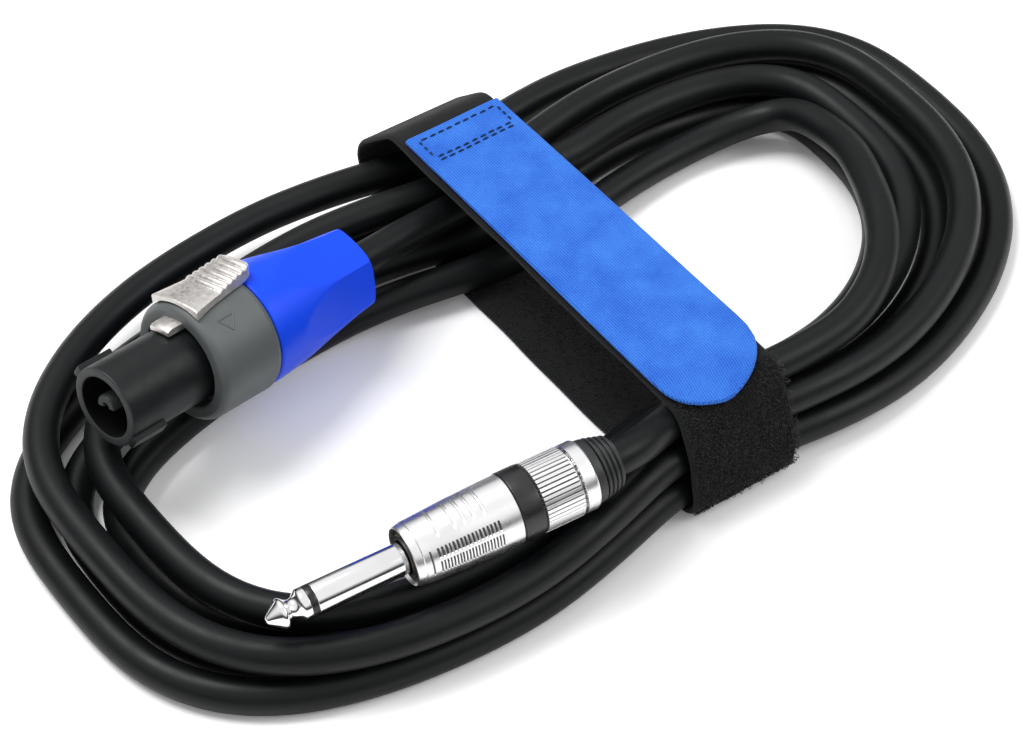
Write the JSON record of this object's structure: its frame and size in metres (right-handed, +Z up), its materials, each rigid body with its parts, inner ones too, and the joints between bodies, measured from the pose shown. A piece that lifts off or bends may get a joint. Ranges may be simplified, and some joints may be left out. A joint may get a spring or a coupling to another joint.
{
  "type": "coiled speaker and instrument cable",
  "caption": "Two-core audio cable in a flat hank held by a hook-and-loop tie, with a twist-lock speaker connector and a 6.35 mm jack plug.",
  "frame": {"origin": "on the underside of the tie, on the surface that the hank lies on, about the middle of the hank", "axes": "+X along the hank, towards the end without connectors; +Y across it, towards the run under the speaker connector; +Z up"},
  "size_m": [0.2335, 0.1256, 0.0383],
  "materials": {
    "cable_jacket": "black flexible PVC, satin",
    "core_red": "insulated core, satin",
    "core_black": "insulated core, satin",
    "nose_plastic": "glass-filled nylon, satin",
    "contact_brass": "plain",
    "screw_steel": "zinc plated",
    "housing_grey": "moulded, fine satin grain",
    "latch_metal": "die-cast, nickel plated, satin",
    "chuck_plastic": "natural acetal",
    "bushing_blue": "moulded, semi-gloss",
    "bright_nickel": "nickel plated, polished",
    "insulator_black": "moulded",
    "ring_black": "moulded, satin",
    "boot_rubber": "moulded",
    "tie_black": "woven nylon loop pile",
    "tie_blue": "woven nylon, fine rib",
    "tie_hooks": "nylon hooks",
    "tie_thread": "spun polyester thread"
  },
  "bodies": {
    "root": {"cable_hank": "cable_jacket", "speaker_lead": "cable_jacket", "jack_lead": "cable_jacket", "speaker_core_red": "core_red", "jack_core_red": "core_red", "speaker_core_black": "core_black", "jack_core_black": "core_black", "speaker_insert": "nose_plastic", "speaker_contact_plus": "contact_brass", "speaker_contact_minus": "contact_brass", "speaker_terminal_screws": "screw_steel", "speaker_housing": "housing_grey", "speaker_latch_spring": "screw_steel", "jack_tip": "bright_nickel", "jack_insulator": "insulator_black", "jack_sleeve": "bright_nickel", "jack_lug_washer": "contact_brass", "jack_tip_lug": "contact_brass", "jack_sleeve_lug": "contact_brass", "jack_barrel": "bright_nickel", "jack_coding_ring": "ring_black", "tie_band": "tie_black", "tie_flap_end": "tie_blue", "tie_stitching": "tie_thread"},
    "speaker_latch": {"speaker_latch": "latch_metal"},
    "speaker_chuck": {"speaker_chuck": "chuck_plastic"},
    "speaker_bushing": {"speaker_bushing": "bushing_blue"},
    "jack_chuck": {"jack_chuck": "chuck_plastic"},
    "jack_nut": {"jack_nut": "bright_nickel", "jack_boot": "boot_rubber"},
    "tie_flap": {"tie_flap": "tie_blue", "tie_hook_pad": "tie_hooks"}
  },
  "joints": [
    {"name": "latch_slide", "type": "slide", "parent": "root", "child": "speaker_latch", "axis": [0.9727, 0.1997, -0.1184], "range_m": [0, 0.003], "stiffness_N_per_m": 800, "springref_m": -0.002},
    {"name": "speaker_chuck_slide", "type": "slide", "parent": "root", "child": "speaker_chuck", "axis": [0.9727, 0.1997, -0.1184], "range_m": [0, 0.0061]},
    {"name": "bushing_turn", "type": "hinge", "parent": "speaker_chuck", "child": "speaker_bushing", "pos_m": [-0.0307, 0.0291, 0.0182], "axis": [0.9727, 0.1997, -0.1184], "range_deg": [0, 1080]},
    {"name": "jack_chuck_slide", "type": "slide", "parent": "root", "child": "jack_chuck", "axis": [0.9948, -0.0905, 0.0471], "range_m": [0, 0.0031]},
    {"name": "nut_turn", "type": "hinge", "parent": "jack_chuck", "child": "jack_nut", "pos_m": [-0.0213, -0.0492, 0.0235], "axis": [0.9948, -0.0905, 0.0471], "range_deg": [0, 1080]},
    {"name": "flap_peel", "type": "hinge", "parent": "root", "child": "tie_flap", "pos_m": [0.00795, 0.0359, 0.02685], "axis": [-1, 0, 0], "range_deg": [0, 150]}
  ],
  "couplings": [
    {"joint": "speaker_chuck_slide", "follows": "bushing_turn", "m_per_rad": 0.00031831},
    {"joint": "jack_chuck_slide", "follows": "nut_turn", "m_per_rad": 0.00015915}
  ]
}
